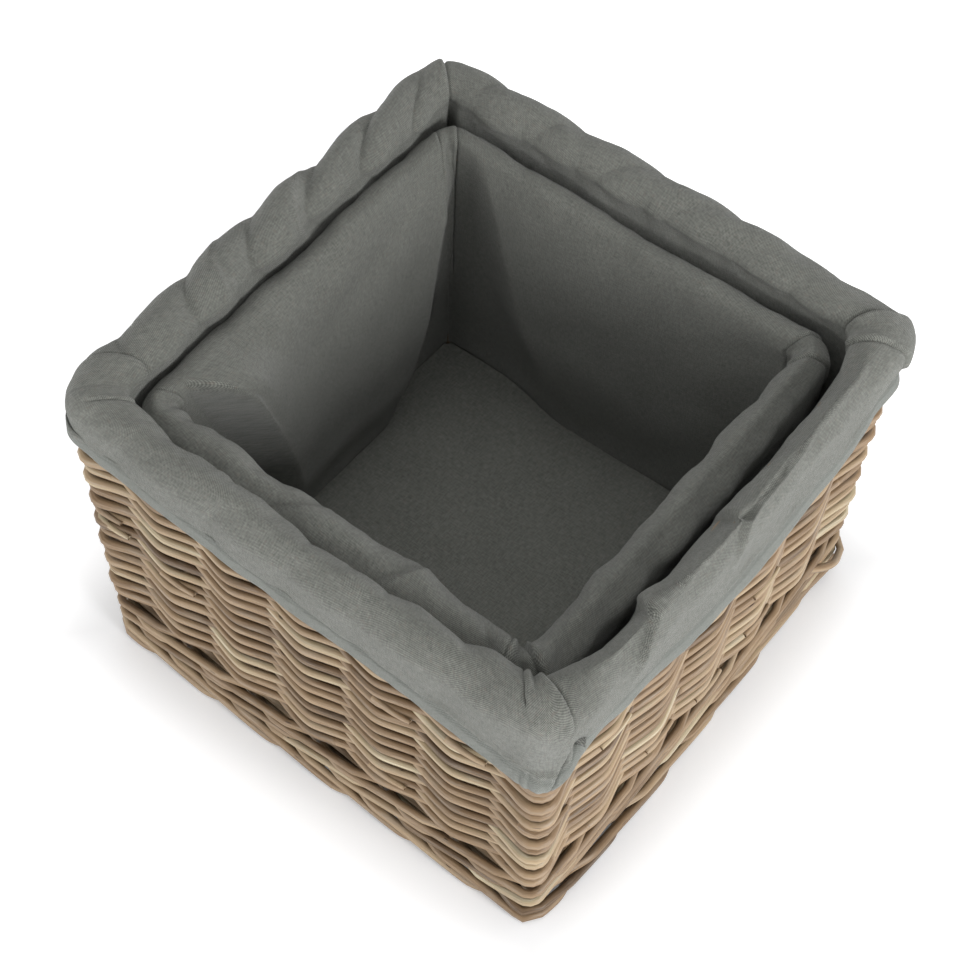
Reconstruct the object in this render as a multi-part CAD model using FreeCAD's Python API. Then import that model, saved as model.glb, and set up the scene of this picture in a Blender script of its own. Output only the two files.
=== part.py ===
"""Nested pair of square wicker log baskets with folded-over fabric linings.

Millimetres. Origin: centre of the outer basket's footprint, on the floor. +Z up, +X and +Y
square to the walls. Each basket is woven willow: a base woven across base sticks, a foot
border, four woven walls around upright stakes and corner posts, and a plaited rim border.
Each lining is one sewn cloth: floor, four walls, a padded roll over the rim, a cuff that
hangs outside, and a stitched hem band.
"""
import FreeCAD, Part
import math
import os

V = FreeCAD.Vector

# ---- outer basket ---------------------------------------------------------------------
OUTER_RIM_TOP = 284.0         # top of the wicker rim border above the floor
OUTER_HALF_BASE = 191.0       # half width of the woven wall at the bottom
OUTER_HALF_TOP = 195.0        # half width of the woven wall under the rim
OUTER_WALL = 17.0             # thickness of the woven wall
OUTER_CORNER_R = 17.0         # rounding of the corner, outside

# ---- inner basket ---------------------------------------------------------------------
INNER_HEIGHT = 240.4          # from its own foot to the top of its rim border
INNER_HALF_BASE = 160.5
INNER_HALF_TOP = 161.0
INNER_WALL = 11.0
INNER_CORNER_R = 15.0
INNER_SHIFT_X = -3.0          # it sits a little off centre in the outer one

# ---- shared woven details ---------------------------------------------------------------
STAKES_PER_WALL = 5
BASE_STICKS = 5
BASE_RAISE = 5.0              # the woven base stands clear of the floor
RUN_GAP = 0.2                 # clearance of a stake in the weave around it

# ---- linings ----------------------------------------------------------------------------
OUTER_CLOTH_WALL = 3.5        # padded lining walls
INNER_CLOTH_WALL = 3.0
CLOTH_FLOOR = 3.0
SEAT_GAP = 0.3                # between cloth and wicker, vertically
SIDE_GAP = 0.5                # between cloth and wicker, sideways
ROLL = 4.0                    # padded roll over the rim
# The cuffs hang unevenly: height of the hem above the floor at three corners of the outer
# basket (-X -Y, +X -Y, +X +Y), and of the inner basket's level hem.
OUTER_HEM_CORNERS = (246.0, 220.0, 222.0)
INNER_HEM_LEVEL = 207.0
HEM_HEIGHT = 10.0
HEM_THICK = 1.0

SIDES = {"front": 270.0, "right": 0.0, "back": 90.0, "left": 180.0}


def export(name, solids):
    """Write one node: a single solid, or a group of like solids."""
    shape = solids[0] if len(solids) == 1 else Part.makeCompound(solids)
    volume = 0.0
    for solid in shape.Solids:
        if not solid.isValid():
            raise RuntimeError(name + " has an invalid solid")
        volume += solid.Volume
    shape.exportStep("parts/" + name + ".step")
    box = shape.BoundBox
    print("%-26s %2d solid(s) %9.1f cm3  z %6.1f..%6.1f"
          % (name, len(shape.Solids), volume / 1000.0, box.ZMin, box.ZMax))


def rounded_square(half, radius, z, cx):
    """Closed wire: a square of half width `half` with rounded corners, at height z."""
    edges = []
    corner = half - radius
    for k in range(4):
        a = math.radians(90.0 * k)
        ux, uy = math.cos(a), math.sin(a)
        wx, wy = -uy, ux
        start = V(cx + half * ux - corner * wx, half * uy - corner * wy, z)
        end = V(cx + half * ux + corner * wx, half * uy + corner * wy, z)
        nxt = V(cx + half * wx + corner * ux, half * wy + corner * uy, z)
        centre = V(cx + corner * (ux + wx), corner * (uy + wy), z)
        d = radius / math.sqrt(2.0)
        mid = V(centre.x + d * (ux + wx), centre.y + d * (uy + wy), z)
        edges.append(Part.LineSegment(start, end).toShape())
        edges.append(Part.Arc(end, mid, nxt).toShape())
    return Part.Wire(edges)


def frustum(half_low, half_high, radius, z_low, z_high, cx):
    """Solid between two rounded squares."""
    low = rounded_square(half_low, radius, z_low, cx)
    high = rounded_square(half_high, radius, z_high, cx)
    return Part.makeLoft([low, high], True, True)


def inner_radius(corner_radius, wall):
    """Rounding of the inside corner behind a wall."""
    return max(corner_radius - wall, 2.0)


def ring(out_low, out_high, in_low, in_high, radius, z_low, z_high, cx):
    """Square tube with rounded corners, inside and out."""
    bend = inner_radius(radius, out_low - in_low)
    outer = frustum(out_low, out_high, radius, z_low, z_high, cx)
    # the inner cutter runs on past both ends at the same slope
    slope = (in_high - in_low) / (z_high - z_low)
    inner = frustum(in_low - slope, in_high + slope, bend, z_low - 1.0, z_high + 1.0, cx)
    return outer.cut(inner)


def wedge(angle, z_low, z_high, cx):
    """Quarter of the plan between two mitre lines, facing `angle`."""
    reach = 400.0
    a = math.radians(angle)
    points = [V(cx, 0, z_low)]
    for turn in (-45.0, 45.0):
        b = a + math.radians(turn)
        points.append(V(cx + reach * math.cos(b), reach * math.sin(b), z_low))
    points.append(points[0])
    face = Part.Face(Part.makePolygon(points))
    return face.extrude(V(0, 0, z_high - z_low))


def quarter(shape, angle, cx):
    box = shape.BoundBox
    piece = shape.common(wedge(angle, box.ZMin - 1.0, box.ZMax + 1.0, cx))
    return piece.Solids[0]


def round_edges(shape, z, radius):
    """Round every edge of a ring that lies at height z."""
    edges = []
    for edge in shape.Edges:
        box = edge.BoundBox
        if abs(box.ZMin - z) < 1e-4 and abs(box.ZMax - z) < 1e-4:
            edges.append(edge)
    return shape.makeFillet(radius, edges)


def hem_height(corners, x, y):
    """Height of the slanting hem plane over the point x, y."""
    low_left, front, right = corners
    reach = OUTER_HALF_TOP
    across = (front - low_left) * (x + reach) / (2.0 * reach)
    along = (right - front) * (y + reach) / (2.0 * reach)
    return low_left + across + along


def below_hem(corners, lift):
    """Solid that fills everything under the hem plane, raised by `lift`."""
    far = 300.0
    points = []
    for x, y in ((-far, -far), (far, -far), (far, far), (-far, far), (-far, -far)):
        points.append(V(x, y, hem_height(corners, x, y) + lift))
    return Part.Face(Part.makePolygon(points)).extrude(V(0, 0, -400.0))


def rod(start, end, radius):
    axis = end.sub(start)
    return Part.makeCylinder(radius, axis.Length, start, axis)


def upright_lines(half_base, half_top, wall, z_low, z_high, cx, post_inset):
    """Centre lines of the corner posts and of the stakes, leaning with the walls."""
    posts = []
    stakes = []
    low = half_base - wall / 2.0
    high = half_top - wall / 2.0
    for name in ("front", "right", "back", "left"):
        a = math.radians(SIDES[name])
        ux, uy = math.cos(a), math.sin(a)
        wx, wy = -uy, ux
        for k in range(STAKES_PER_WALL + 1):
            t = -1.0 + 2.0 * k / (STAKES_PER_WALL + 1)
            inset = post_inset if k == 0 else 0.0      # a post stands just inside the corner
            lo = low - inset
            hi = high - inset
            start = V(cx + lo * ux + t * lo * wx, lo * uy + t * lo * wy, z_low)
            end = V(cx + hi * ux + t * hi * wx, hi * uy + t * hi * wy, z_high)
            if k == 0:
                posts.append((start, end))
            else:
                stakes.append((start, end))
    return posts, stakes


def cut_channels(shape, lines, radius):
    for start, end in lines:
        shape = shape.cut(rod(start, end, radius + RUN_GAP))
    return shape


def woven_basket(prefix, half_base, half_top, wall, corner_r, z0, height, cx,
                 post_r, post_inset, stake_r, foot_height, rim_height, split_uprights):
    """All wicker nodes of one basket. Returns the height of the inside floor."""
    z_foot = z0 + foot_height
    z_rim = z0 + height - rim_height
    z_top = z0 + height
    slope = (half_top - half_base) / (z_rim - z_foot)

    posts, stakes = upright_lines(half_base, half_top, wall, z0 + 4.0, z_top - 5.0, cx,
                                  post_inset)

    # foot border: slightly proud of the wall, rounded underneath
    foot = ring(half_base + 1.5, half_base + 1.5, half_base - wall, half_base - wall,
                corner_r + 1.5, z0, z_foot, cx)
    foot = round_edges(foot, z0, 3.0)
    # woven walls
    walls = ring(half_base, half_top, half_base - wall, half_top - wall,
                 corner_r, z_foot, z_rim, cx)
    # rim border: a plait a little thicker than the wall, rounded on top
    rim = ring(half_top, half_top, half_top - wall - 1.5, half_top - wall - 1.5,
               corner_r, z_rim, z_top, cx)
    rim = round_edges(rim, z_top, 5.0)

    for name, angle in SIDES.items():
        for part_name, whole in (("foot", foot), ("wall", walls), ("rim", rim)):
            piece = quarter(whole, angle, cx)
            piece = cut_channels(piece, posts, post_r)
            piece = cut_channels(piece, stakes, stake_r)
            export("%s_%s_%s" % (prefix, part_name, name), piece.Solids)

    post_solids = [rod(start, end, post_r) for start, end in posts]
    stake_solids = [rod(start, end, stake_r) for start, end in stakes]
    if split_uprights:
        export(prefix + "_corner_posts", post_solids)
        export(prefix + "_stakes", stake_solids)
    else:
        export(prefix + "_uprights", post_solids + stake_solids)

    # woven base on its sticks, inside the foot border
    base_half = half_base - wall - 0.2
    z_base = z0 + BASE_RAISE
    base_bend = inner_radius(corner_r, wall) + 1.0
    base = frustum(base_half, base_half, base_bend, z_base, z_foot - 0.3, cx)
    stick_r = (z_foot - 0.3 - z_base) / 2.0 - 1.5
    z_stick = (z_base + z_foot - 0.3) / 2.0
    sticks = []
    for k in range(BASE_STICKS):
        x = cx + base_half * (-1.0 + 2.0 * (k + 0.5) / BASE_STICKS)
        reach = base_half - 4.0
        sticks.append((V(x, -reach, z_stick), V(x, reach, z_stick)))
    base = cut_channels(base, sticks, stick_r)
    export(prefix + "_base_weave", base.Solids)
    export(prefix + "_base_sticks", [rod(a, b, stick_r) for a, b in sticks])
    return z_foot


def lining(prefix, half_base, half_top, wall, corner_r, z_floor, z_rim_top, cx, cloth_wall,
           hem_corners, cuff_thick):
    """All cloth nodes of one lining, clear of the wicker all round. Returns floor top."""
    # inside: floor and walls
    in_top = half_top - wall - 1.5 - SIDE_GAP
    # never wider below than at the rim, so the lining lifts straight out
    in_base = min(half_base - wall - SIDE_GAP, in_top)
    z_low = z_floor + SEAT_GAP
    z_floor_top = z_low + CLOTH_FLOOR
    z_roll = z_rim_top + SEAT_GAP
    bend = max(6.0, inner_radius(corner_r, wall) + 1.5)
    floor = frustum(in_base, in_base, bend, z_low, z_floor_top, cx)
    export(prefix + "_lining_floor", floor.Solids)
    walls = ring(in_base, in_top, in_base - cloth_wall, in_top - cloth_wall,
                 bend, z_floor_top, z_roll, cx)
    # padded roll over the rim and the cuff outside
    cuff_in = half_top + SIDE_GAP
    cuff_out = cuff_in + cuff_thick
    roll = ring(cuff_out, cuff_out, in_top - cloth_wall, in_top - cloth_wall,
                corner_r + SIDE_GAP + cuff_thick, z_roll, z_roll + ROLL, cx)
    roll = round_edges(roll, z_roll + ROLL, 2.5)
    cuff = ring(cuff_out, cuff_out, cuff_in, cuff_in,
                corner_r + SIDE_GAP + cuff_thick, z_floor_top, z_roll, cx)
    cuff = cuff.cut(below_hem(hem_corners, 0.0))
    for name, angle in SIDES.items():
        for part_name, whole in (("wall", walls), ("roll", roll), ("cuff", cuff)):
            export("%s_lining_%s_%s" % (prefix, part_name, name), [quarter(whole, angle, cx)])
    # stitched hem band along the cuff's lower edge
    hem_out = cuff_out + HEM_THICK
    hem = ring(hem_out, hem_out, cuff_out, cuff_out,
               corner_r + SIDE_GAP + cuff_thick + HEM_THICK, z_floor_top, z_roll, cx)
    hem = hem.common(below_hem(hem_corners, HEM_HEIGHT)).cut(below_hem(hem_corners, 0.0))
    export(prefix + "_lining_hem", hem.Solids)
    return z_floor_top


def main():
    os.makedirs("parts", exist_ok=True)
    z_inside = woven_basket("outer", OUTER_HALF_BASE, OUTER_HALF_TOP, OUTER_WALL,
                            OUTER_CORNER_R, 0.0, OUTER_RIM_TOP, 0.0,
                            5.5, 3.0, 4.0, 18.0, 18.0, True)
    z_cloth = lining("outer", OUTER_HALF_BASE, OUTER_HALF_TOP, OUTER_WALL, OUTER_CORNER_R,
                     z_inside, OUTER_RIM_TOP, 0.0, OUTER_CLOTH_WALL, OUTER_HEM_CORNERS, 3.5)
    z_inner = z_cloth + SEAT_GAP
    z_inside = woven_basket("inner", INNER_HALF_BASE, INNER_HALF_TOP, INNER_WALL,
                            INNER_CORNER_R, z_inner, INNER_HEIGHT, INNER_SHIFT_X,
                            3.0, 2.2, 3.0, 15.0, 15.0, False)
    lining("inner", INNER_HALF_BASE, INNER_HALF_TOP, INNER_WALL, INNER_CORNER_R,
           z_inside, z_inner + INNER_HEIGHT, INNER_SHIFT_X, INNER_CLOTH_WALL,
           (INNER_HEM_LEVEL,) * 3, 3.0)


main()
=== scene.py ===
import bpy
import math
import numpy as np
from mathutils import Matrix, Vector


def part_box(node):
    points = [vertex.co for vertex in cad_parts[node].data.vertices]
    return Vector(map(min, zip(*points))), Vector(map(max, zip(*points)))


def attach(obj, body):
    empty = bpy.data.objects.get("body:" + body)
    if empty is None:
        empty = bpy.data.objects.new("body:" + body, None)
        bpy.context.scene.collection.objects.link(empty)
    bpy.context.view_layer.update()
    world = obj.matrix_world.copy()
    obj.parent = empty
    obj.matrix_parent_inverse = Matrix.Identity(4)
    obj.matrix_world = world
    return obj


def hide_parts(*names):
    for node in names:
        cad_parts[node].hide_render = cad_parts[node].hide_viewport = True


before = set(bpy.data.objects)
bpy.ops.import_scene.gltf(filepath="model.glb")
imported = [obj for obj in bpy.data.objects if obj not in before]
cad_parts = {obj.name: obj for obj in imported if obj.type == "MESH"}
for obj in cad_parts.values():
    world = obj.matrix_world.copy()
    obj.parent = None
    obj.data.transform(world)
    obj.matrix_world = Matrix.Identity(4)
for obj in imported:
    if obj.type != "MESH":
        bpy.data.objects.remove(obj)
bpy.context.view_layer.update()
MM = 0.001
TAU = 2 * math.pi
LAP = 24                      # upright stations round a basket
SIDE = 6                      # stations along one side
SIDES = ("front", "right", "back", "left")
CLOTH_THICK = 1.2
THREAD_PITCH = 1.15           # of the cloth, warp and weft


# ------------------------------------------------------------------ helpers
def smooth(a, b, x):
    t = np.clip((x - a) / (b - a), 0, 1)
    return t * t * (3 - 2 * t)


def vnoise(x, y, seed, period):
    """Smooth value noise from -1 to 1, periodic in x."""
    rng = np.random.RandomState(seed)
    rows = 64
    grid = rng.rand(rows, period) * 2 - 1
    xi, yi = np.floor(x).astype(int), np.floor(y).astype(int)
    fx, fy = x - xi, y - yi
    fx, fy = fx * fx * (3 - 2 * fx), fy * fy * (3 - 2 * fy)
    x0, x1 = xi % period, (xi + 1) % period
    y0, y1 = yi % rows, (yi + 1) % rows
    top = grid[y0, x0] * (1 - fx) + grid[y0, x1] * fx
    low = grid[y1, x0] * (1 - fx) + grid[y1, x1] * fx
    return top * (1 - fy) + low * fy


def box_mm(node_name):
    """Low and high corner of a CAD node, in millimetres."""
    return [np.array(corner) * 1000 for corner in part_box(node_name)]


def from_corner(u):
    """Signed distance to the nearest corner, in stations."""
    return np.mod(u + SIDE / 2, SIDE) - SIDE / 2


def plan(u, half, radius):
    """Rounded square. u counts upright stations, 24 to a lap, 0 at the -X -Y corner, turning
    anticlockwise seen from above. Returns x, y and the outward normal."""
    u, half, radius = np.broadcast_arrays(np.asarray(u, float), half, radius)
    side = np.floor(np.mod(u, LAP) / SIDE).astype(int)
    v = np.mod(u, SIDE) / SIDE
    flat = half - radius
    quarter = math.pi * radius / 4
    a = v * (2 * quarter + 2 * flat)
    base = np.radians(-90 + 90 * side)
    theta = base + np.where(a < quarter, a / radius - math.pi / 4,
                            np.where(a > quarter + 2 * flat, (a - quarter - 2 * flat) / radius, 0))
    en = (np.cos(base), np.sin(base))
    et = (-np.sin(base), np.cos(base))
    along = np.clip(a - quarter, 0, 2 * flat) - flat
    nx, ny = np.cos(theta), np.sin(theta)
    x = flat * en[0] + along * et[0] + radius * nx
    y = flat * en[1] + along * et[1] + radius * ny
    return x, y, nx, ny


def bow(u):
    """Walls swell gently between the corners."""
    v = np.mod(u, SIDE) / SIDE
    return 2.5 * (1 - (2 * v - 1) ** 2)


def new_object(name, verts, faces, material, attribute):
    """Smooth-shaded mesh from millimetres, with named vector attributes on its points."""
    mesh = bpy.data.meshes.new(name)
    mesh.from_pydata((np.asarray(verts) * MM).tolist(), [], faces)
    for key, data in attribute.items():
        layer = mesh.attributes.new(key, "FLOAT_VECTOR", "POINT")
        layer.data.foreach_set("vector", np.asarray(data, float).ravel())
    mesh.polygons.foreach_set("use_smooth", [True] * len(mesh.polygons))
    mesh.materials.append(material)
    mesh.update()
    obj = bpy.data.objects.new(name, mesh)
    bpy.context.scene.collection.objects.link(obj)
    return obj


class Rods:
    """Collects tubes along paths, in millimetres, into one mesh. Each point keeps its distance
    along the rod, its height round the section and the rod's tone for the material."""

    def __init__(self):
        self.v, self.f, self.a, self.count = [], [], [], 0

    def add(self, path, radius, tone, closed=False, sides=8, up=(0, 0, 1)):
        path = np.asarray(path, float)
        n = len(path)
        radius = np.broadcast_to(radius, (n,)).astype(float)
        tone = np.broadcast_to(tone, (n,)).astype(float)
        if closed:
            tangent = np.roll(path, -1, 0) - np.roll(path, 1, 0)
        else:
            tangent = np.gradient(path, axis=0)
        tangent /= np.linalg.norm(tangent, axis=1)[:, None] + 1e-12
        across = np.cross(tangent, np.asarray(up, float))
        across /= np.linalg.norm(across, axis=1)[:, None] + 1e-12
        upward = np.cross(across, tangent)
        steps = np.linalg.norm(np.diff(path, axis=0), axis=1)
        length = np.concatenate([[0], np.cumsum(steps)])
        angle = np.arange(sides) * TAU / sides
        ring = (np.cos(angle)[None, :, None] * across[:, None, :]
                + np.sin(angle)[None, :, None] * upward[:, None, :])
        pts = path[:, None, :] + ring * radius[:, None, None]
        start = self.count
        self.v.append(pts.reshape(-1, 3))
        info = np.zeros((n, sides, 3))
        info[:, :, 0] = length[:, None] * MM
        info[:, :, 1] = np.sin(angle)[None, :]
        info[:, :, 2] = tone[:, None]
        self.a.append(info.reshape(-1, 3))
        last = n if closed else n - 1
        i = np.arange(last)[:, None]
        j = np.arange(sides)[None, :]
        k = (i + 1) % n
        m = (j + 1) % sides
        quads = np.stack([start + i * sides + j + 0 * m, start + i * sides + m,
                          start + k * sides + m, start + k * sides + j + 0 * m], -1)
        self.f.extend(quads.reshape(-1, 4).tolist())
        self.count += n * sides
        if not closed:
            self.f.append([start + x for x in range(sides)])
            self.f.append([start + (n - 1) * sides + x for x in reversed(range(sides))])

    def build(self, name, material):
        return new_object(name, np.concatenate(self.v), self.f, material,
                          {"rod": np.concatenate(self.a)})


# ------------------------------------------------------------------ materials
def node(tree, kind, **values):
    n = tree.nodes.new(kind)
    for key, value in values.items():
        if key in n.inputs:
            n.inputs[key].default_value = value
        else:
            setattr(n, key, value)
    return n


def tinted(colour, shade):
    return tuple(c * shade for c in colour)


def ramp(tree, fac, stops, shade=1.0):
    r = tree.nodes.new("ShaderNodeValToRGB")
    while len(r.color_ramp.elements) < len(stops):
        r.color_ramp.elements.new(0.5)
    for e, (pos, col) in zip(r.color_ramp.elements, stops):
        e.position, e.color = pos, (*tinted(col, shade), 1)
    tree.links.new(fac, r.inputs["Fac"])
    return r.outputs["Color"]


def math_node(tree, op, a, b=None, c=None):
    n = tree.nodes.new("ShaderNodeMath")
    n.operation = op
    for slot, value in zip(n.inputs, (a, b, c)):
        if value is None:
            continue
        if isinstance(value, (int, float)):
            slot.default_value = value
        else:
            tree.links.new(value, slot)
    return n.outputs[0]


def mix_rgb(tree, mode, fac, a, b):
    n = tree.nodes.new("ShaderNodeMix")
    n.data_type, n.blend_type = "RGBA", mode
    for slot, value in ((n.inputs[0], fac), (n.inputs[6], a), (n.inputs[7], b)):
        if isinstance(value, (int, float)):
            slot.default_value = value
        elif isinstance(value, tuple):
            slot.default_value = (*value, 1)
        else:
            tree.links.new(value, slot)
    return n.outputs[2]


def scaled(tree, vector, scale):
    n = tree.nodes.new("ShaderNodeVectorMath")
    n.operation = "MULTIPLY"
    tree.links.new(vector, n.inputs[0])
    n.inputs[1].default_value = scale
    return n.outputs[0]


def smooth_node(tree, value, low, high):
    n = tree.nodes.new("ShaderNodeMapRange")
    n.interpolation_type = "SMOOTHSTEP"
    n.inputs["From Min"].default_value = low
    n.inputs["From Max"].default_value = high
    tree.links.new(value, n.inputs["Value"])
    return n.outputs["Result"]


def noise_node(tree, vector, scale, **values):
    """Noise over coordinates stretched by scale, one factor an axis."""
    n = node(tree, "ShaderNodeTexNoise", Scale=1.0, **values)
    tree.links.new(scaled(tree, vector, scale), n.inputs["Vector"])
    return n.outputs["Fac"]


def bump_node(tree, shader, height, strength, distance):
    n = node(tree, "ShaderNodeBump", Strength=strength, Distance=distance)
    tree.links.new(height, n.inputs["Height"])
    tree.links.new(n.outputs["Normal"], shader.inputs["Normal"])


def new_material(name):
    """Returns the material, its node tree and its shader."""
    m = bpy.data.materials.new(name)
    m.use_nodes = True
    return m, m.node_tree, m.node_tree.nodes["Principled BSDF"]


def point_attribute(tree, name):
    """A vector attribute of the mesh's points, whole and as its X, Y and Z."""
    vector = node(tree, "ShaderNodeAttribute", attribute_name=name).outputs["Vector"]
    sep = node(tree, "ShaderNodeSeparateXYZ")
    tree.links.new(vector, sep.inputs[0])
    return vector, sep.outputs


def willow(name, dark=1.0):
    """Weathered willow bark. The attribute "rod" holds the distance along the rod in metres,
    the height round its section and its tone."""
    m, t, shader = new_material(name)
    rod, rod_xyz = point_attribute(t, "rod")
    # long streaks and pale patches along the rod
    streak = noise_node(t, rod, (28, 5.0, 71), Detail=4.0, Roughness=0.6)
    patch = noise_node(t, rod, (16, 0.7, 37), Detail=2.0, Roughness=0.5)
    tone = math_node(t, "MULTIPLY_ADD", streak, 0.9, -0.45)
    tone = math_node(t, "ADD", tone, rod_xyz["Z"])
    tone = math_node(t, "ADD", tone, math_node(t, "MULTIPLY_ADD", patch, 0.7, -0.35))
    col = ramp(t, tone, [(0.0, (0.090, 0.054, 0.028)), (0.25, (0.200, 0.125, 0.064)),
                         (0.5, (0.310, 0.208, 0.118)), (0.72, (0.390, 0.282, 0.170)),
                         (0.88, (0.430, 0.348, 0.215)), (1.0, (0.56, 0.49, 0.35))], dark)
    # grey wash in long patches
    wash = smooth_node(t, noise_node(t, rod, (45, 2.0, 17), Detail=3.0), 0.45, 0.75)
    col = mix_rgb(t, "MIX", math_node(t, "MULTIPLY", wash, 0.35), col,
                  tinted((0.37, 0.315, 0.25), dark))
    # knots and dark flecks
    knot = node(t, "ShaderNodeTexVoronoi", Scale=1.0, Randomness=1.0)
    t.links.new(scaled(t, rod, (30, 1.1, 53)), knot.inputs["Vector"])
    spot = smooth_node(t, knot.outputs["Distance"], 0.10, 0.05)
    col = mix_rgb(t, "MIX", math_node(t, "MULTIPLY", spot, 0.75), col, (0.06, 0.035, 0.022))
    fleck = smooth_node(t, noise_node(t, rod, (210, 9, 29), Detail=5.0, Roughness=0.75), 0.60, 0.72)
    col = mix_rgb(t, "MIX", math_node(t, "MULTIPLY", fleck, 0.35), col, (0.10, 0.065, 0.045))
    # painted shade: the underside of each rod is darkened, as the light falls from above
    under = smooth_node(t, rod_xyz["Y"], -0.95, 0.25)
    col = mix_rgb(t, "MULTIPLY", math_node(t, "SUBTRACT", 1.0, under), col, (0.34, 0.30, 0.27))
    t.links.new(col, shader.inputs["Base Color"])
    shader.inputs["Specular IOR Level"].default_value = 0.42
    shader.inputs["Coat Weight"].default_value = 0.12
    shader.inputs["Coat Roughness"].default_value = 0.35
    rough = math_node(t, "MULTIPLY_ADD", streak, 0.25, 0.36)
    t.links.new(rough, shader.inputs["Roughness"])
    grain = noise_node(t, rod, (60, 7, 43), Detail=3.0)
    height = math_node(t, "SUBTRACT", grain, math_node(t, "MULTIPLY", spot, 0.6))
    bump_node(t, shader, height, 0.45, 0.0006)
    return m


def cloth_material(name, shade, hem=None):
    """Plain-weave linen look. The attribute "cloth" holds coordinates on the cloth in metres.
    Beyond the distance hem along the cloth the colour is paler, as painted light on the hem strip, which
    turns out to the light."""
    m, t, shader = new_material(name)
    cloth, cloth_xyz = point_attribute(t, "cloth")
    turns = TAU / (THREAD_PITCH * MM)
    warp = math_node(t, "SINE", math_node(t, "MULTIPLY", cloth_xyz["X"], turns))
    weft = math_node(t, "SINE", math_node(t, "MULTIPLY", cloth_xyz["Y"], turns))
    check = math_node(t, "MULTIPLY", warp, weft)
    # slubs: long thin noise along each thread direction
    slub_a = noise_node(t, cloth, (190, 900, 1), Detail=2.0)
    slub_b = noise_node(t, cloth, (900, 190, 1), Detail=2.0)
    cloud = node(t, "ShaderNodeTexNoise", Scale=26.0, Detail=3.0)
    t.links.new(cloth, cloud.inputs["Vector"])
    tone = math_node(t, "ADD", slub_a, slub_b)
    tone = math_node(t, "MULTIPLY_ADD", tone, 0.75, -0.25)
    tone = math_node(t, "ADD", tone, math_node(t, "MULTIPLY", check, 0.50))
    cloudy = math_node(t, "MULTIPLY_ADD", cloud.outputs["Fac"], 0.25, -0.125)
    tone = math_node(t, "ADD", tone, cloudy)
    col = ramp(t, tone, [(0.0, (0.105, 0.108, 0.097)), (0.35, (0.165, 0.170, 0.152)),
                         (0.6, (0.222, 0.230, 0.208)), (1.0, (0.335, 0.340, 0.305))], shade)
    warm = smooth_node(t, noise_node(t, cloth, (420, 420, 1), Detail=1.0), 0.55, 0.75)
    col = mix_rgb(t, "MIX", math_node(t, "MULTIPLY", warm, 0.35), col,
                  tinted((0.25, 0.215, 0.185), shade))
    if hem:
        # painted light: the strip past the hem is paler, as where the flared hem catches the light
        painted_hem_light = smooth_node(t, cloth_xyz["Y"], hem - 0.003, hem + 0.001)
        col = mix_rgb(t, "MIX", math_node(t, "MULTIPLY", painted_hem_light, 0.55), col,
                      tinted((0.262, 0.278, 0.256), shade))
    t.links.new(col, shader.inputs["Base Color"])
    shader.inputs["Roughness"].default_value = 0.92
    shader.inputs["Specular IOR Level"].default_value = 0.15
    shader.inputs["Sheen Weight"].default_value = 0.22
    shader.inputs["Sheen Roughness"].default_value = 0.45
    bump_node(t, shader, math_node(t, "ADD", math_node(t, "MULTIPLY", check, 0.35), tone), 0.8, 0.0003)
    return m


def stick_material():
    """Peeled wood of the base sticks, with the grain along Y."""
    m, t, shader = new_material("base_stick_wood")
    position = node(t, "ShaderNodeTexCoord").outputs["Object"]
    grain = noise_node(t, position, (300, 18, 300), Detail=4.0)
    col = ramp(t, grain, [(0.3, (0.12, 0.08, 0.05)), (0.5, (0.26, 0.19, 0.13)),
                          (0.72, (0.36, 0.28, 0.2))])
    t.links.new(col, shader.inputs["Base Color"])
    shader.inputs["Roughness"].default_value = 0.6
    bump_node(t, shader, grain, 0.4, 0.0006)
    return m


MAT_WEAVE = willow("willow_weave")
MAT_FOOT = willow("willow_foot", 0.94)
# painted shade: the stakes show in the gaps between rods, and their willow is darkened to 0.62 to stand in
# for the shade there
MAT_STAKE_SHADED = willow("willow_stakes", 0.62)
MAT_CLOTH = cloth_material("lining_cloth", 0.84, hem=0.336)
# painted shade: a darker copy of the lining cloth for the inner lining, whose walls lie in shade
MAT_CLOTH_INNER_SHADED = cloth_material("lining_cloth_inner", 0.78)
# painted light: a paler copy of the lining cloth for the linings' floors
MAT_CLOTH_FLOOR_LIT = cloth_material("lining_cloth_floor", 0.93)
MAT_STICK = stick_material()


# ------------------------------------------------------------------ wicker
ROD_R = 3.15                  # radius of the outer basket's rods; the pitches below belong to it
ROW_PITCH = 12.4              # between rows of pairing
FIRST_ROW = 44.0              # height of the first row of pairing above the foot border
FULL_HEIGHT = 284.0           # height of the basket that FIRST_ROW belongs to
WALE_PITCH = 15.0             # between the two rows of three-rod wale
RIM_WIDTH = 12.5              # of the plait, across the wall
ROD_TIPS = 26                 # cut rod ends that show on the outer basket
BASE_ROD_R = 2.6
BASE_STICKS = 5


def stiff(phase):
    """Cosine with straight flanks, as a stiff rod lies between two uprights."""
    return np.arcsin(0.96 * np.cos(phase)) / math.asin(0.96)


def rod_tones(rng, n):
    """A lap of weaving is several rods joined end to end, so the tone steps a few times."""
    cuts = np.sort(rng.randint(0, n, 3))
    tone = np.zeros(n)
    values = np.clip(rng.normal(0.49, 0.16, 4), 0.1, 1.0)
    values[rng.rand(4) < 0.05] = 0.82
    values[3] = values[0]
    for value, low, high in zip(values, [0, *cuts], [*cuts, n]):
        tone[low:high] = value
    return tone


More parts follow.
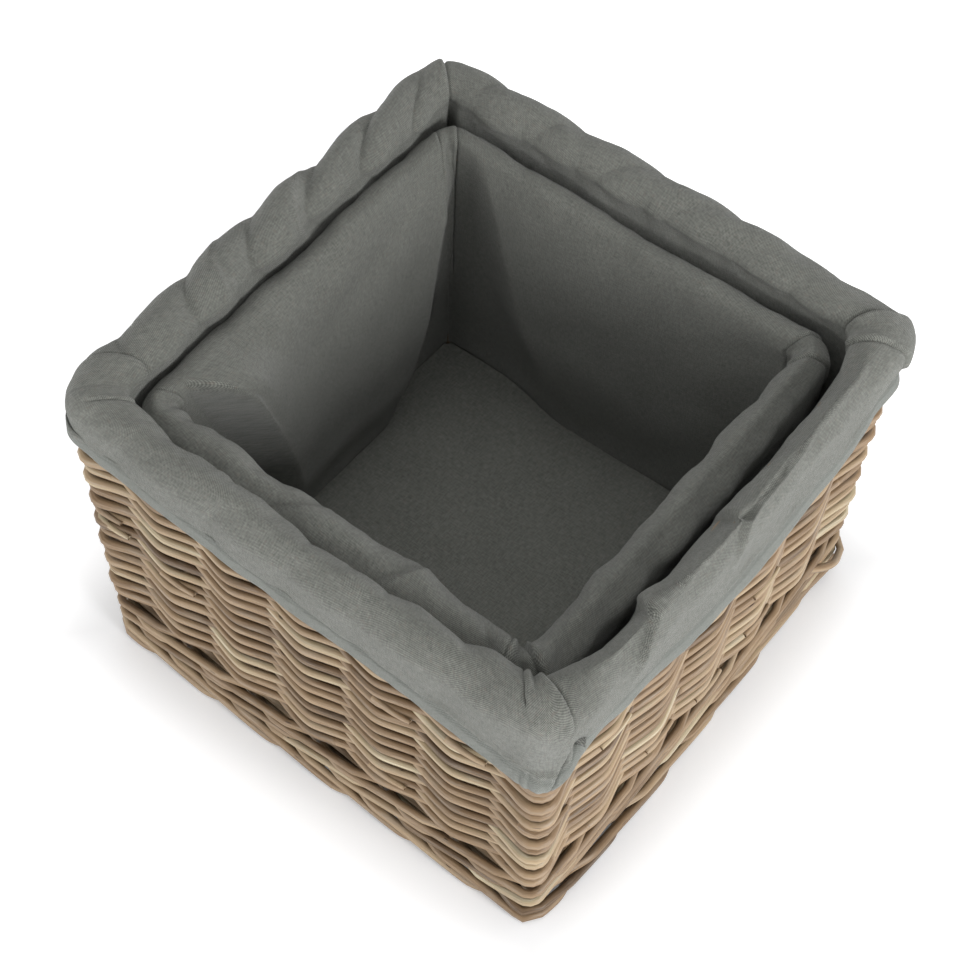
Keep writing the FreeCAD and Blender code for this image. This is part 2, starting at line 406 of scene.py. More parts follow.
class Basket:
    """Wicker of one basket, rod by rod, between its CAD walls. All in millimetres."""

    def __init__(self, prefix, z0, rod_r, stake_r, corner, inward, seed, cx):
        self.prefix, self.z0, self.rod_r, self.stake_r = prefix, z0, rod_r, stake_r
        self.corner, self.inward, self.seed, self.cx = corner, inward, seed, cx
        self.is_outer = prefix == "outer"
        self.outward = 2.15 * rod_r          # outer stroke of a rod, from the plane of the stakes
        self.rng = np.random.RandomState(seed)
        wall_hi = box_mm(prefix + "_wall_right")[1]
        foot_hi = box_mm(prefix + "_foot_right")[1]
        rim_lo, rim_hi = box_mm(prefix + "_rim_right")
        self.z_low, self.z_rim, self.z_top = foot_hi[2], rim_lo[2], rim_hi[2]
        self.face_top = wall_hi[0] - cx
        self.face_low = foot_hi[0] - cx - 1.5
        # stations round the lap, closer together at the corners
        bends = (np.arange(4)[:, None] * SIDE + np.linspace(-0.16, 0.16, 17)[None, :]) % LAP
        u = np.unique(np.round(np.concatenate([np.arange(LAP * 18) / 18, bends.ravel()]), 5))
        self.u = u[np.append(np.diff(u) > 0.006, True)]
        self.pitch = ROW_PITCH * rod_r / ROD_R
        self.first_row = self.z_low + FIRST_ROW * (self.z_top - z0) / FULL_HEIGHT
        self.rows = int((self.z_rim - 3 - self.first_row) / self.pitch) + 1
        self.weave()
        self.border()
        self.uprights()
        self.rim()
        self.base()

    def place(self, u, n, z):
        """Points at lap station u, n outside the plane of the stakes, at height z."""
        height = (z - self.z_low) / (self.z_rim - self.z_low)
        face = self.face_low + (self.face_top - self.face_low) * height
        x, y, nx, ny = plan(u, face - self.rod_r - self.outward, self.corner)
        n = n + bow(u)
        return np.stack([self.cx + x + n * nx, y + n * ny, z + 0 * x], -1)

    def noise(self, u, row, offset, period):
        """Noise of this basket's own, periodic in u."""
        return vnoise(u, row, self.seed + offset, period)

    def finish(self, rods, suffix, material, cad_suffixes):
        """Builds one piece that rides on the basket in place of its CAD nodes."""
        o = rods.build(self.prefix + suffix, material)
        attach(o, self.prefix + "_basket")
        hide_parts(*[self.prefix + c for c in cad_suffixes])

    def weave(self):
        """Pairing: two rods cross between every two stakes, in phase from row to row."""
        weave, u, rod_r = Rods(), self.u, self.rod_r
        at_corner = np.exp(-(from_corner(u) / 0.22) ** 2)
        for r in range(self.rows):
            lift = 0.9 * self.noise(u * 0.5, r * 0.7, 3, 12)
            if r == 0:
                lift = lift + 2.6 * self.noise(u, 5.3, 4, 24) - 1.0
            if r == 1:
                lift = lift + 1.0 * self.noise(u, 5.3, 4, 24)
            for pair in (0, 1):
                phase = math.pi * (u + pair) + 0.10 * self.noise(u, r * 1.3 + pair * 9, 5, 24)
                wave = stiff(phase)
                size = 1 + 0.10 * self.noise(u * 0.5, r * 2.1 + pair * 5, 6, 12)
                n = np.where(wave > 0, self.outward * wave * size, self.inward * wave)
                n = n + at_corner * (1.3 if r % 2 else -0.4) * (wave > 0)
                shallow = (self.inward - 0.8 * self.corner) * np.clip(1.6 * at_corner, 0, 1)
                n = np.maximum(n, shallow - self.inward)
                z = self.first_row + r * self.pitch + lift + rod_r * 0.92 * np.sin(phase)
                uneven = 0.09 * self.noise(u * 0.25, r * 1.7 + pair * 3, 7, 6) + 0.05 * self.rng.normal()
                rad = rod_r * (1 + uneven) * (1 + 0.10 * at_corner)
                weave.add(self.place(u, n, z), rad, rod_tones(self.rng, len(u)), closed=True)
        # cut tips of spent rods, outside only
        for _ in range(ROD_TIPS if self.is_outer else 0):
            station = self.rng.randint(0, LAP) + 0.04 * self.rng.normal()
            z_row = self.first_row + self.rng.randint(0, self.rows) * self.pitch + rod_r * 0.5
            t = np.linspace(0, 1, 16)
            n = self.outward * (0.55 + 0.60 * np.sin(math.pi * (0.25 + 0.45 * t)))
            weave.add(self.place(station - 0.12 + 0.50 * t, n, z_row + 1.5 * t),
                      rod_r * (0.85 - 0.35 * t ** 2), self.rng.uniform(0.3, 0.9))
        self.finish(weave, "_pairing_weave", MAT_WEAVE,
                    ["_wall_" + side for side in SIDES])

    def border(self):
        """Three-rod wale that sets up the stakes, and the slanting foot border below it."""
        low, u, rod_r, rng = Rods(), self.u, self.rod_r, self.rng
        for r in range(2):
            z_row = self.z_low + (9.5 + r * WALE_PITCH) * rod_r / ROD_R
            for k in range(3):
                phase = TAU * (u - k - r) / 3
                n = np.clip(0.62 + 1.25 * np.cos(phase), -0.35, 1.0)
                n = n * self.outward * (1 + 0.06 * self.noise(u * 0.5, k + r * 4.0, 8, 12))
                z = z_row + 5.4 * rod_r / ROD_R * np.sin(phase)
                z = z + 1.2 * self.noise(u * 0.5, k * 2.0 + r * 5, 9, 12)
                rad = rod_r * (1.0 + 0.08 * self.noise(u * 0.25, k + r * 3.3, 10, 6))
                low.add(self.place(u, n, z), rad, rod_tones(rng, len(u)), closed=True)
        top, bottom = self.z_low - 1.0, self.z0 + rod_r * 1.15
        for k in range(LAP):
            span = np.linspace(-0.55, 1.75, 40)
            station = k + span
            s = (span + 0.55) / 2.3
            n = self.outward * (1.05 * smooth(0, 0.22, s) - 1.0 * smooth(0.78, 1.0, s) + 0.05)
            if self.is_outer:                # this side's border stands out at the front corner
                n = n + np.interp(station % LAP, [5.9, 6.5, 8, 11.5, 12], [0, 4.0, 2.5, -1.5, 0])
            z = top + (bottom - top) * smooth(0.12, 0.88, s) + 0.8 * rng.normal()
            z = np.clip(z, self.z0 + rod_r * 1.12, None)
            low.add(self.place(station, n, z), rod_r * (1.06 + 0.08 * rng.normal()),
                    np.clip(rng.normal(0.45, 0.15), 0.1, 0.9))
        if self.is_outer:                    # a rod end bowed out at the +X +Y corner
            t = np.linspace(0, 1, 40)
            loop = self.place(11.25 + 1.1 * t, 2 + 13.5 * np.sin(math.pi * t) ** 1.3,
                              48 - 34 * t + 6 * t * t)
            low.add(loop, rod_r * (1.05 - 0.2 * t), 0.62)
        self.finish(low, "_foot_border", MAT_FOOT,
                    ["_foot_" + side for side in SIDES])

    def uprights(self):
        """Stakes, stouter and further in at the corners."""
        ups = Rods()
        for k in range(LAP):
            is_corner = k % SIDE == 0
            z = np.linspace(self.z0 + self.rod_r * 1.4, self.z_rim + (3 if self.is_outer else -4), 24)
            n = np.full(24, -3.6 if is_corner else -0.6) + 0.4 * self.rng.normal()
            radius = self.stake_r * (1.25 if is_corner else 1.0)
            ups.add(self.place(np.full(24, float(k)), n, z), radius * np.linspace(1.08, 0.92, 24),
                    np.clip(self.rng.normal(0.4, 0.1), 0.1, 0.8), up=(0.3, 1, 0))
        self.finish(ups, "_upright_sticks", MAT_STAKE_SHADED,
                    ["_stakes", "_corner_posts"] if self.is_outer else ["_uprights"])

    def rim(self):
        """Three pairs of rods plaited into a rope round the top."""
        rim, u, rod_r = Rods(), self.u, self.rod_r
        mid = (self.z_rim + self.z_top) / 2 - (0 if self.is_outer else 2.5)
        reach = (self.z_top - self.z_rim) / 2 - rod_r * 1.05
        slim = 5.2 * smooth(6.2, 7.4, u) * smooth(12, 11, u) if self.is_outer else 0
        depth = np.clip((RIM_WIDTH - slim - 2.3 * rod_r) / 2, 0, None)
        sag = 3.5 * np.sin(math.pi * np.clip((u - 6) / 6, 0, 1)) ** 2 if self.is_outer else 0
        for k in range(6):
            twin = k % 2
            phase = TAU * (u / 3.0 + (k // 2) / 3.0) + 0.22 * twin
            inset = 1.0 if self.is_outer else 3.0
            n = self.outward - inset - depth * (1 - np.cos(phase)) + twin * 0.5
            z = mid - sag + reach * np.sin(phase) * 0.95 + twin * 0.4
            rim.add(self.place(u, n, z), rod_r * 1.05, rod_tones(self.rng, len(u)), closed=True)
        self.finish(rim, "_rim_plait", MAT_WEAVE,
                    ["_rim_" + side for side in SIDES])

    def base(self):
        """Rods over and under the base sticks, which keep their CAD shape."""
        lo, hi = box_mm(self.prefix + "_base_weave")
        base, half, mid = Rods(), (hi[1] - lo[1]) / 2, (lo[2] + hi[2]) / 2
        rod_r = BASE_ROD_R
        swing = (hi[2] - lo[2]) / 2 - rod_r
        stick_gap = 2 * half / BASE_STICKS
        count = int(2 * half / (rod_r * 2.15))
        for i in range(count):
            y = -half + rod_r + i * (2 * half - 2 * rod_r) / (count - 1)
            x = np.linspace(-half + 1.5, half - 1.5, 72)
            z = mid + swing * np.cos(math.pi * (x / stick_gap + i))
            base.add(np.stack([self.cx + x, y + 0 * x, z], -1),
                     rod_r * (1 + 0.06 * self.rng.normal()),
                     np.clip(self.rng.normal(0.5, 0.15), 0.1, 0.9), sides=6)
        self.finish(base, "_base_rods", MAT_FOOT, ["_base_weave"])
        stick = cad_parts[self.prefix + "_base_sticks"]
        stick.data.materials.clear()
        stick.data.materials.append(MAT_STICK)


INNER_CX = -3.0               # the inner basket sits a little off centre
Basket("outer", z0=0.0, rod_r=ROD_R, stake_r=3.4, corner=2.4, inward=6.6, seed=11, cx=0.0)
Basket("inner", z0=box_mm("inner_foot_front")[0][2], rod_r=2.7, stake_r=2.4, corner=8.0,
       inward=2.0, seed=57, cx=INNER_CX)


# ------------------------------------------------------------------ linings
STATION = 59.0                # length of cloth between two uprights
INNER_STATION = 54.0          # the inner lining's own, where its slack panels are laid out
TURN = 11.0                   # corner radius of the linings' floors
SEAM_RISE = 2.4               # of a floor's edge, where it is sewn to the walls


def station_samples(fine, coarse):
    """Stations round the lap, closer together near the corners."""
    zone = 0.75                          # stations on each side of a corner
    out = []
    for c in range(4):
        near = np.linspace(0, zone, fine, endpoint=False)
        mid = np.linspace(zone, SIDE - zone, coarse, endpoint=False)
        far = np.linspace(SIDE - zone, SIDE, fine, endpoint=False)
        out.append(SIDE * c + np.concatenate([near, mid, far]))
    return np.concatenate(out)


def spline(controls, m):
    """Catmull-Rom through controls (K, U, 2), sampled at m points by length. Returns (m, U, 2)
    and the mean length."""
    k, n = controls.shape[:2]
    first = 2 * controls[:1] - controls[1:2]
    last = 2 * controls[-1:] - controls[-2:-1]
    p = np.concatenate([first, controls, last])
    dense = []
    steps = 12
    for i in range(k - 1):
        a, b, c, d = p[i:i + 4]
        for s in range(steps):
            t = s / steps
            dense.append(0.5 * (2 * b + (c - a) * t + (2 * a - 5 * b + 4 * c - d) * t * t
                                + (3 * b - a - 3 * c + d) * t ** 3))
    dense.append(controls[-1])
    dense = np.array(dense)
    seg = np.linalg.norm(np.diff(dense, axis=0), axis=2)
    length = np.concatenate([np.zeros((1, n)), np.cumsum(seg, axis=0)])
    share = length / length[-1]
    out = np.zeros((m, n, 2))
    want = np.linspace(0, 1, m)
    for j in range(n):
        out[:, j, 0] = np.interp(want, share[:, j], dense[:, j, 0])
        out[:, j, 1] = np.interp(want, share[:, j], dense[:, j, 1])
    return out, length[-1].mean()


def corner_distance(u, corner):
    """Signed distance from one corner along the lap, in millimetres."""
    return (np.mod(u - SIDE * corner + LAP / 2, LAP) - LAP / 2) * STATION


def interpolate_lap(u, values):
    """Smooth periodic values given at stations."""
    s = np.array([v[0] for v in values] + [values[0][0] + LAP], float)
    h = np.array([v[1] for v in values] + [values[0][1]], float)
    uu = np.where(u < s[0], u + LAP, u)
    i = np.clip(np.searchsorted(s, uu, side="right") - 1, 0, len(s) - 2)
    t = smooth(0, 1, (uu - s[i]) / (s[i + 1] - s[i]))
    return h[i] * (1 - t) + h[i + 1] * t


def puffs(u, seed):
    """Padded bumps between the stakes, 0 in the valleys and about 1 on the crests."""
    jitter = 0.18 * vnoise(u, 2.5, seed, LAP)
    size = 0.75 + 0.35 * vnoise(u + 0.5, 7.5, seed + 1, LAP)
    return size * np.abs(np.sin(math.pi * (u + jitter + 0.05))) ** 0.8


def thicken(obj):
    mod = obj.modifiers.new("thick", "SOLIDIFY")
    mod.thickness = CLOTH_THICK * MM
    mod.offset = 0


def cloth_grid(name, pos, u, length, material):
    """Cloth closed round the lap, from a grid of points (along the cloth, round the lap)."""
    m, n = pos.shape[:2]
    i = np.arange(m - 1)[:, None]
    j = np.arange(n)[None, :]
    q = np.stack([i * n + j, i * n + (j + 1) % n, (i + 1) * n + (j + 1) % n, (i + 1) * n + j], -1)
    co = np.zeros((m, n, 3))
    co[:, :, 0] = u[None, :] * STATION * MM
    co[:, :, 1] = np.linspace(0, length, m)[:, None] * MM
    obj = new_object(name, pos.reshape(-1, 3), q.reshape(-1, 4).tolist(), material,
                     {"cloth": co.reshape(-1, 3)})
    thicken(obj)
    return obj


def grid_normals(pos):
    """Unit normals of a grid of points that is closed along its second axis."""
    du = np.roll(pos, -1, 1) - np.roll(pos, 1, 1)
    dt = np.gradient(pos, axis=0)
    nrm = np.cross(dt, du)
    return nrm / (np.linalg.norm(nrm, axis=2)[:, :, None] + 1e-9)


def panel_belly(u, w):
    """How far the two slack back panels of the inner lining hang inwards. u is the station,
    w the depth below the taut top edge. Deep pockets stay open at the corners."""
    panel = SIDE * INNER_STATION
    a = (u - 18) * INNER_STATION            # along the left panel from the back corner
    back = np.interp(w, [0, 40, 130, 210], [0, 3, 25, 60])
    flap = sum(np.interp(w + k, [0, 10, 30, 63, 96, 140, 225], [20, 22, 29, 43, 58, 72, 88])
               for k in (-8, 0, 8)) / 3     # edge of the pocket at the far corner
    soft_b = 3 + 0.07 * w
    soft_f = 1.2 + 0.06 * w + 4.0 * np.exp(-w / 20.0)
    left = (smooth(back - soft_b, back + soft_b * 2.2, a)
            * smooth(flap - soft_f * 0.6, flap + soft_f, panel - a))
    left = left * 29 * (1 - np.exp(-w / (42.0 - 33 * smooth(190, 285, a))))
    left = left * (1 - 0.42 * smooth(165, 224, w))
    lip = np.exp(-((panel - a - flap - 4.0) / 4.0) ** 2)
    left = left + 1.8 * lip * smooth(14, 34, w) * smooth(130, 50, w)
    crease = (w - 10 - 0.26 * (a - 30)) / 11.0
    left = left - 1.8 * np.exp(-crease ** 2) * smooth(20, 70, a) * smooth(230, 150, a)
    c = (18 - u) * INNER_STATION            # along the other panel from the same corner
    pocket = np.interp(w, [0, 66, 122, 156, 225], [20, 36, 54, 70, 88])
    soft_c = 7 + 0.10 * w
    right = smooth(pocket - soft_c, pocket + soft_c * 1.6, c) * smooth(0, 60, panel - c)
    right = right * 23 * (1 - np.exp(-w / 45.0)) * (1 - 0.55 * smooth(120, 224, w))
    right = right * (0.80 + 0.20 * np.cos((c - 120) / 60.0))
    return np.where(u >= 18, left, right) * smooth(12.0, 12.4, u) * smooth(24.0, 23.85, u)


def section(spec, u, near, calm):
    """Control points of the cloth's section at each station, as (distance from the centre,
    height): the floor seam, the inside wall, the roll over the rim and the cuff."""
    seed, shoulder = spec["seed"], spec["shoulder"]
    floor, height = spec["z_floor"] + np.zeros(len(u)), spec["z_top"] - spec["z_floor"]
    hem, rise, edge, widen, flare, soft, bulge = (
        interpolate_lap(u, spec[key]) for key in ("hem", "rise", "edge", "widen", "flare", "soft", "bulge"))
    top = spec["z_top"] + rise
    bulge = bulge * (1 - np.exp(-(near / 16.0) ** 1.5))
    crest_in = puffs(u, seed) * calm * soft
    crest_out = puffs(u, seed + 5) * calm
    puff_in, puff_out = spec["puff_in"] * crest_in, spec["puff_out"] * crest_out
    wobble = 1.6 * vnoise(u, 3.1, seed + 9, LAP)
    bowed = spec["bow"] * bow(u)
    wall, cuff = spec["r_in"] + bowed, spec["r_out"] + bowed
    points = [
        (wall - 0.4 * bowed, floor),
        (wall - 0.4 * bowed - 0.45 * bulge, floor + 0.12 * height),
        (wall - 0.95 * bulge, floor + 0.36 * height),
        (wall - 0.80 * bulge, floor + 0.62 * height),
        (wall - 0.30 * bulge, floor + 0.84 * height),
        (wall - 0.55 * puff_in + 0.6 * edge, top - 17),
        (wall - puff_in - 0.8 + edge, top - 7.5 + 0.3 * wobble),
        (wall + 5.0 - 0.55 * puff_in + edge, top - 0.8 + 0.3 * wobble + 0.6 * crest_in),
        ((wall + cuff) / 2 - 0.7 * shoulder + 0.5 * edge,
         top + 1.2 + (crest_in + crest_out) / 2 + 0.3 * wobble),
        (cuff - 5.0 - shoulder + 0.5 * puff_out, top - 1.5 - 0.3 * shoulder + 0.3 * wobble),
        (cuff - 0.7 * shoulder + puff_out + widen, top - 9 - shoulder),
        (cuff + 0.7 * puff_out + widen, top - 24 - shoulder),
        (cuff + 0.5 * puff_out, hem + 0.45 * (top - 24 - hem)),
        (cuff + 0.15 * flare + 0.7 * wobble, hem + 12.0),
        (cuff + flare + 1.1 * wobble, hem),
    ]
    if spec["belly"]:                    # taut, plain walls for the slack panels to hang from
        taut = smooth(12.0, 12.6, u) * smooth(24.0, 23.5, u)
        plain = [(0, share * height) for share in (0, 0.12, 0.34, 0.55, 0.73, 0.86)]
        plain += [(0, height - 13.0), (1.3, height - 0.9), (8.0, height + 0.9)]
        for k, (out, up) in enumerate(plain):
            r, z = points[k]
            points[k] = (r * (1 - taut) + (wall + out) * taut,
                         z * (1 - taut) + (floor + up + rise) * taut)
    return np.array([np.stack([r, z], -1) for r, z in points])


def roll_folds(spec, u, r, z, top, calm):
    """Slanting puffs along the roll, and tucks where it is caught."""
    over = np.exp(-(((r - (spec["r_in"] + 12)) ** 2 + (z - top + 4) ** 2) / 21.0 ** 2))
    slant = u[None, :] + (r - spec["r_in"]) / 52.0 + (top - z) / 120.0
    amount = (interpolate_lap(u, spec["slant"]) * calm)[None, :]
    fold = over * amount * (np.abs(np.sin(math.pi * (slant + 0.3))) ** 0.7 - 0.55)
    for at, depth, tail in spec["tucks"]:
        past = np.mod(slant - at + LAP / 2, LAP) - LAP / 2
        fold = fold + over * depth * smooth(-0.02, 0.035, past) * np.exp(-np.clip(past, 0, None) / tail)
    return fold


def rumples(seed, lap, along, length):
    """Soft rumples, finer on the cuff, and a seam down each inside corner."""
    cuff = smooth(length * 0.58, length * 0.72, along)
    d = 1.5 * vnoise(lap * 1.5 + along * 0.02, along / 45.0, seed + 20, 36) * (0.25 + 0.75 * cuff)
    d += 0.8 * vnoise(lap * 3.0 - along * 0.035, along / 22.0, seed + 21, 72) * (0.25 + 0.75 * cuff)
    d += 0.35 * vnoise(lap * 8.0 + along * 0.05, along / 9.0, seed + 22, 192) * (0.2 + 0.8 * cuff)
    d += 2.2 * vnoise(lap * 0.75 + along * 0.006, along / 90.0, seed + 23, 18) * (1 - cuff)
    d *= smooth(-4, 26, along)
    return d - 0.8 * np.exp(-(from_corner(lap) * STATION / 1.3) ** 2) * (1 - cuff)


def stitched_hem(seed, lap, from_hem):
    """A doubled edge with a puckered line of stitches above it."""
    d = 1.2 * smooth(10.5, 8.5, from_hem) - 0.7 * np.exp(-((from_hem - 10.0) / 0.9) ** 2)
    d += 0.8 * np.exp(-((from_hem - 13.5) / 2.4) ** 2)
    return d + 0.45 * vnoise(lap * 7.0, 1.5, seed + 30, 168) * np.exp(-((from_hem - 9) / 6.0) ** 2)


def pleat(lap, share, corner, start, end, curve, lip, share_lo, share_hi):
    """A folded lip and a sharp groove along a curve on the cloth. start and end are distances
    from the corner, and a negative lip faces the other way."""
    f = (share - share_lo) / (share_hi - share_lo)
    fc = np.clip(f, 0, 1)
    line = start + (end - start) * fc + curve * np.sin(math.pi * fc)
    past = (corner_distance(lap, corner) - line) * (1 if lip > 0 else -1)
    raised = abs(lip) * np.where(past > 0, np.exp(-past / 10.0), 0) * smooth(-0.1, 0.6, past)
    groove = (0.8 + 0.5 * abs(lip)) * np.exp(-(past / 1.3) ** 2)
    return smooth(-0.02, 0.03, f) * smooth(1.03, 0.97, f) * (raised - groove)


def lining_mesh(spec):
    """One lining as a grid of points (along the cloth, round the lap), with its stations and
    the length of its section."""
    seed, r_in, r_out = spec["seed"], spec["r_in"], spec["r_out"]
    u = station_samples(40, 130)
    near = np.abs(from_corner(u)) * STATION
    calm = smooth(6, 40, near)           # puffs fade at the corners
    prof, length = spline(section(spec, u, near, calm), spec["rows"])
    r, z = prof[..., 0], prof[..., 1]
    top = spec["z_top"] + interpolate_lap(u, spec["rise"])
    if spec["belly"]:
        inside = smooth(r_in + 11.0, r_in + 1.0, r)
        r = r - panel_belly(u[None, :] + 0 * r, np.clip(top - z, 0, None)) * inside
    across = np.clip((r - r_in) / (r_out - r_in), 0, 1.4)
    radius = spec["turn_in"] + (spec["turn_out"] - spec["turn_in"]) * across
    x, y, _, _ = plan(u[None, :], r, np.clip(radius, 2.5, None))
    pos = np.stack([x, y, z], -1)
    along = np.linspace(0, length, spec["rows"])[:, None] + 0 * r
    lap = u[None, :] + 0 * r
    d = rumples(seed, lap, along, length) + stitched_hem(seed, lap, length - along)
    d += roll_folds(spec, u, r, z, top, calm)
    for values in spec["pleats"]:
        d += pleat(lap, along / length, *values)
    for corner, offset, share, width, height, depth in spec["dimples"]:
        dx = (corner_distance(lap, corner) - offset) / width
        dt = (along - share * length) / height
        d += depth * np.exp(-dx * dx - dt * dt)
    pos = pos + grid_normals(pos) * d[..., None]
    pos[..., 0] += spec["cx"]
    return pos, u, length


def lining(prefix, material, spec):
    """The cloth of one lining, in place of its CAD walls, rolls, cuffs and hem."""
    pos, u, length = lining_mesh(spec)
    sheet = cloth_grid(prefix + "_lining_cloth", pos, u, length, material)
    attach(sheet, prefix + "_lining")
    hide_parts(*["%s_lining_%s_%s" % (prefix, part, side)
                         for part in ("wall", "roll", "cuff") for side in SIDES],
                prefix + "_lining_hem")
    return sheet, length


# Lists of pairs are (station, millimetres). Tucks are (station, depth, tail in stations).
# Pleats are (corner, start, end, curve, lip, from, to) and dimples (corner, offset, at, width,
# height, depth): from, to and at are shares of the cloth's length, the rest millimetres.
outer_sheet, len_out = lining("outer", MAT_CLOTH, dict(
    seed=101, rows=200, cx=0.0, belly=False, bow=1.0, shoulder=1.5, puff_in=5.0, puff_out=3.6,
    z_floor=box_mm("outer_lining_wall_right")[0][2] + 0.5,
    z_top=box_mm("outer_lining_roll_right")[1][2] - 1.0,
    r_in=171.0, r_out=box_mm("outer_lining_roll_right")[1][0] + 0.3, turn_in=7.0, turn_out=21.0,
    flare=[(0, 0), (1.2, 2.5), (3, 3), (5.5, 2.5), (6.5, 2), (9, 3), (11.5, 1.5), (13, 0), (23, 0)],
    edge=[(0, -2), (1.2, 5), (3, 7), (4.8, 6), (6, -1), (7.1, 13), (9, 19), (11, 15), (12, 0),
          (15, -2), (18, -1), (21, -1)],
    widen=[(0, 0), (11, 0), (12, 5), (13, 1), (14, 0)],
    soft=[(0, 1), (6, 1), (7, 0.35), (11, 0.35), (12, 1)],
    slant=[(0, 2), (3, 2), (6, 1.5), (9, 2), (12, 1.5), (15, 3.5), (18, 5), (19, 8.5), (23, 8.5)],
    tucks=[(7.9, 9.0, 0.8), (9.45, 10.0, 0.7), (20.9, 4.0, 0.6), (22.2, 3.0, 0.5)],
    hem=[(0, 251), (1.5, 248), (3, 241), (4.5, 234), (5.6, 223), (6, 221), (6.4, 239), (7.2, 231),
         (8.5, 221), (10, 221), (11.3, 235), (12, 235), (13, 226), (15, 210), (17, 214), (18, 222),
         (20, 232), (22, 246), (23, 250)],
    bulge=[(0, 0.5), (3, 1), (9, 1), (15, 1), (21, 0.5)],
    rise=[(0, 0.5), (3, -0.5), (6, 0), (9, -3), (12, 1), (13.5, 3), (15, 4), (18, 1.5), (21, 2.5)],
    pleats=[(1, 0.0, 1.0, 13.0, -4.5, 0.735, 0.995), (1, -10.0, -13.0, -3.0, 2.2, 0.70, 0.80),
            (0, -4.0, -22.0, -16.0, 2.2, 0.70, 0.90), (0, 5.0, 10.0, 6.0, -1.2, 0.72, 0.84),
            (2, -6.0, -18.0, -5.0, 3.4, 0.70, 0.92), (2, 3.0, 5.0, 6.0, -3.0, 0.70, 0.95),
            (3, 0.0, 1.0, 0.0, 3.2, 0.40, 0.86)],
    dimples=[(1, -7.0, 0.74, 3.0, 9.0, -3.4), (1, 20.0, 0.96, 4.5, 7.0, -4.5),
             (1, 12.0, 0.95, 3.0, 8.0, 3.0), (1, -10.0, 0.985, 1.6, 9.0, -1.6),
             (1, -15.0, 0.985, 1.6, 8.0, -1.4), (1, -5.0, 0.985, 1.6, 9.0, 1.6),
             (3, 0.0, 0.62, 4.5, 26.0, -7.0), (3, 9.0, 0.66, 7.0, 22.0, 2.0),
             (3, -9.0, 0.66, 7.0, 22.0, 2.0)],
))
inner_sheet, len_in = lining("inner", MAT_CLOTH_INNER_SHADED, dict(
    seed=303, rows=180, cx=INNER_CX, belly=True, bow=0.8, shoulder=0.0, puff_in=2.4, puff_out=1.6,
    z_floor=box_mm("inner_lining_wall_right")[0][2] + 0.5,
    z_top=box_mm("inner_lining_roll_right")[1][2] - 1.0,
    r_in=146.5, r_out=box_mm("inner_lining_roll_right")[1][0] - INNER_CX - 0.6,
    turn_in=6.0, turn_out=18.0, flare=[(0, 0)], soft=[(0, 1)],
    edge=[(0, 0), (0.9, -4), (1.5, -1), (2.4, -6), (3.3, -3), (4.1, -7), (5.2, -2), (6, 0), (9, -3),
          (12, 0)],
    widen=[(0, 0), (6, 1), (9, 3.5), (12, 0)],
    slant=[(0, 2), (3, 2), (6, 1), (9, 1.5), (12, 0.5), (18, 0)],
    tucks=[(2.6, 3.0, 0.5), (4.2, 3.5, 0.5)],
    hem=[(0, 209), (4.5, 200), (6, 184), (7.5, 194), (12, 206), (18, 210)],
    bulge=[(0, 2), (3, 7), (6, 2), (9, 7), (12, 3), (18, 0)],
    rise=[(0, 0), (3, -2), (6, -2.5), (9, -1.5), (12, 1.5), (15, -1.5), (18, 3.5), (21, -0.5)],
    pleats=[(1, -4.0, 10.0, 5.0, 6.0, 0.68, 0.95), (1, -16.0, -8.0, -6.0, 2.4, 0.70, 0.84),
            (0, -7.0, -10.0, -4.0, 2.2, 0.52, 0.80), (2, -7.0, -9.0, -4.0, 2.2, 0.55, 0.90),
            (2, 4.0, 8.0, 3.0, 1.5, 0.58, 0.9), (3, -4.0, -6.0, 2.0, 2.2, 0.30, 0.80),
            (3, 8.0, 12.0, 3.0, 1.8, 0.45, 0.80)],
    dimples=[(1, -8.0, 0.745, 5.0, 11.0, -5.0), (1, -20.0, 0.74, 9.0, 12.0, 4.5),
             (1, -36.0, 0.74, 9.0, 9.0, -3.5), (1, 6.0, 0.74, 6.0, 10.0, 3.0),
             (3, 2.0, 0.72, 4.0, 14.0, -4.5), (0, 12.0, 0.74, 11.0, 10.0, 2.6),
             (0, 24.0, 0.73, 8.0, 10.0, -3.5)],
))


def floor_cloth(prefix, cx, half, seed):
    """A lining's bottom: nearly flat cloth, with its edge raised at the seam."""
    node_name = prefix + "_lining_floor"
    n = 120
    gx, gy = np.meshgrid(np.linspace(-1, 1, n), np.linspace(-1, 1, n))
    edge = np.maximum(np.abs(gx), np.abs(gy))
    z = box_mm(node_name)[1][2] - 0.4 + 0 * gx
    z = z + 1.0 * vnoise((gx + 1) * 3, (gy + 1) * 3, seed, 16) * (1 - edge ** 6)
    z = z + 0.4 * vnoise((gx + 1) * 8, (gy + 1) * 8, seed + 1, 32)
    z = z + SEAM_RISE * smooth(0.955, 1.0, edge)
    # the square's corners are pulled in to arcs
    x, y, flat = gx * half, gy * half, half - TURN
    qx, qy = np.abs(x) - flat, np.abs(y) - flat
    in_corner = (qx > 0) & (qy > 0)
    shrink = np.maximum(qx, qy) / np.maximum(np.hypot(qx, qy), 1e-6)
    x = np.where(in_corner, np.sign(x) * (flat + qx * shrink), x)
    y = np.where(in_corner, np.sign(y) * (flat + qy * shrink), y)
    i = np.arange(n - 1)[:, None]
    j = np.arange(n - 1)[None, :]
    q = np.stack([i * n + j, i * n + j + 1, (i + 1) * n + j + 1, (i + 1) * n + j], -1)
    pos = np.stack([cx + x, y, z], -1)
    co = np.stack([x * MM, y * MM, 0 * x], -1)
    obj = new_object(prefix + "_lining_bottom", pos.reshape(-1, 3), q.reshape(-1, 4).tolist(),
                     MAT_CLOTH_FLOOR_LIT, {"cloth": co.reshape(-1, 3)})
    thicken(obj)
    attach(obj, prefix + "_lining")
    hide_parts(node_name)
    return obj


